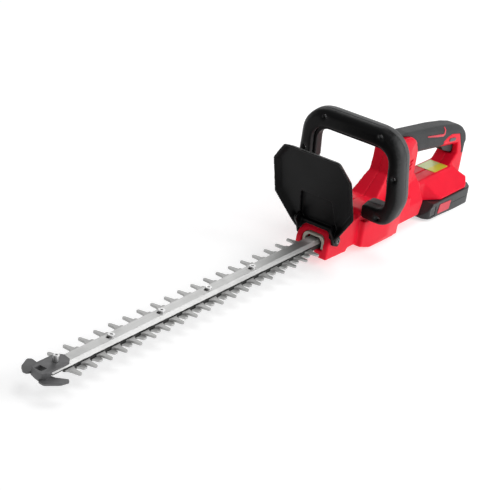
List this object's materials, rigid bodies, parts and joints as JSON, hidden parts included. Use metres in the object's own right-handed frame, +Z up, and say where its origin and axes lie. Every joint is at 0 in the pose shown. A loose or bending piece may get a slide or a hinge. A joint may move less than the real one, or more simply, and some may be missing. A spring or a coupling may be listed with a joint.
{
  "type": "hedge trimmer",
  "caption": "Cordless hedge trimmer with double-acting toothed blades, loop front handle, hand guard, trigger grip and slide-on battery",
  "frame": {"origin": "middle of the tool's length and width, on the floor under the battery", "axes": "+X to the blade tip, +Y to the tool's left, +Z up"},
  "size_m": [0.9208, 0.1608, 0.1843],
  "materials": {
    "red_plastic": "satin moulded",
    "black_plastic": "fine texture",
    "charcoal_plastic": "fine texture",
    "grip_rubber": "soft touch",
    "accent_red": "satin",
    "grey_plastic": "satin",
    "liner_plastic": "satin",
    "label_film": "printed film, plain",
    "blade_steel": "ground",
    "bar_steel": "brushed",
    "bright_steel": "zinc plated",
    "dark_steel": "blackened",
    "gear_steel": "hobbed",
    "cast_alloy": "as cast",
    "bronze": "sintered",
    "winding": "lacquered",
    "motor_can_paint": "satin",
    "white_plastic": "satin",
    "board": "solder mask",
    "contact_metal": "plated",
    "cell_wrap": "shrink film"
  },
  "bodies": {
    "housing": {"body_left": "red_plastic", "body_right": "red_plastic", "housing_screws": "dark_steel", "gear_frame_base": "cast_alloy", "gear_frame_top": "cast_alloy", "gear_frame_screws": "dark_steel", "guide_bar": "bar_steel", "bar_screws": "bright_steel", "bar_nuts": "bright_steel", "tip_guard": "charcoal_plastic", "tip_bolt": "bright_steel", "nose_plate": "liner_plastic", "crank_bush": "bronze", "crank_bearing": "bright_steel", "idler_pin": "bright_steel", "motor_can": "motor_can_paint", "hand_guard": "black_plastic", "guard_screws": "bright_steel", "front_handle_shell": "black_plastic", "rear_handle_shell": "charcoal_plastic", "handle_screws": "bright_steel", "handle_bolts": "bright_steel", "front_switch": "charcoal_plastic", "grip_sleeve": "grip_rubber", "grip_accents": "accent_red", "side_caps": "grey_plastic", "trigger_pin": "bright_steel", "trigger_spring": "bright_steel", "rear_switch": "charcoal_plastic", "control_board": "board", "terminal_block": "charcoal_plastic", "rating_plate": "label_film"},
    "upper_blade": {"upper_blade": "blade_steel"},
    "lower_blade": {"lower_blade": "blade_steel"},
    "crank": {"crank_shaft": "gear_steel", "crank_gear": "gear_steel"},
    "idler": {"idler_gear": "gear_steel"},
    "rotor": {"motor_pinion": "gear_steel", "motor_rotor": "winding", "motor_fan": "white_plastic"},
    "trigger": {"trigger": "black_plastic"},
    "switch_bar": {"switch_bar": "black_plastic"},
    "battery": {"pack_lower": "charcoal_plastic", "pack_upper": "charcoal_plastic", "pack_cells": "cell_wrap", "pack_contacts": "contact_metal", "pack_badges": "accent_red", "pack_screws": "bright_steel"},
    "latch_left": {"latch_left": "grey_plastic"},
    "latch_right": {"latch_right": "grey_plastic"}
  },
  "joints": [
    {"name": "upper_slide", "type": "slide", "parent": "housing", "child": "upper_blade", "axis": [1, 0, 0], "range_m": [-0.007, 0.007]},
    {"name": "lower_slide", "type": "slide", "parent": "housing", "child": "lower_blade", "axis": [1, 0, 0], "range_m": [-0.007, 0.007]},
    {"name": "crank_spin", "type": "hinge", "parent": "housing", "child": "crank", "pos_m": [-0.2044, 0, 0.02], "axis": [0, 0, 1], "continuous": true},
    {"name": "idler_spin", "type": "hinge", "parent": "housing", "child": "idler", "pos_m": [-0.2374, 0, 0.035], "axis": [0, 0, 1], "continuous": true},
    {"name": "motor_spin", "type": "hinge", "parent": "housing", "child": "rotor", "pos_m": [-0.2604, 0, 0.06], "axis": [0, 0, 1], "continuous": true},
    {"name": "trigger_squeeze", "type": "hinge", "parent": "housing", "child": "trigger", "pos_m": [-0.3864, 0, 0.098], "axis": [0, 1, 0], "range_deg": [0, 7], "stiffness_Nm_per_rad": 0.4, "springref_deg": -4.01},
    {"name": "switch_bar_press", "type": "slide", "parent": "housing", "child": "switch_bar", "axis": [0.1374, 0, 0.9905], "range_m": [0, 0.0045], "stiffness_N_per_m": 800, "springref_m": -0.004},
    {"name": "battery_slide", "type": "slide", "parent": "housing", "child": "battery", "axis": [-1, 0, 0], "range_m": [0, 0.105]},
    {"name": "latch_left_press", "type": "slide", "parent": "battery", "child": "latch_left", "axis": [0, -1, 0], "range_m": [0, 0.0025], "stiffness_N_per_m": 1500, "springref_m": -0.002},
    {"name": "latch_right_press", "type": "slide", "parent": "battery", "child": "latch_right", "axis": [0, 1, 0], "range_m": [0, 0.0025], "stiffness_N_per_m": 1500, "springref_m": -0.002}
  ],
  "couplings": [
    {"joint": "lower_slide", "follows": "upper_slide", "ratio": -1},
    {"joint": "idler_spin", "follows": "crank_spin", "ratio": -4.5},
    {"joint": "motor_spin", "follows": "crank_spin", "ratio": 16.2}
  ]
}
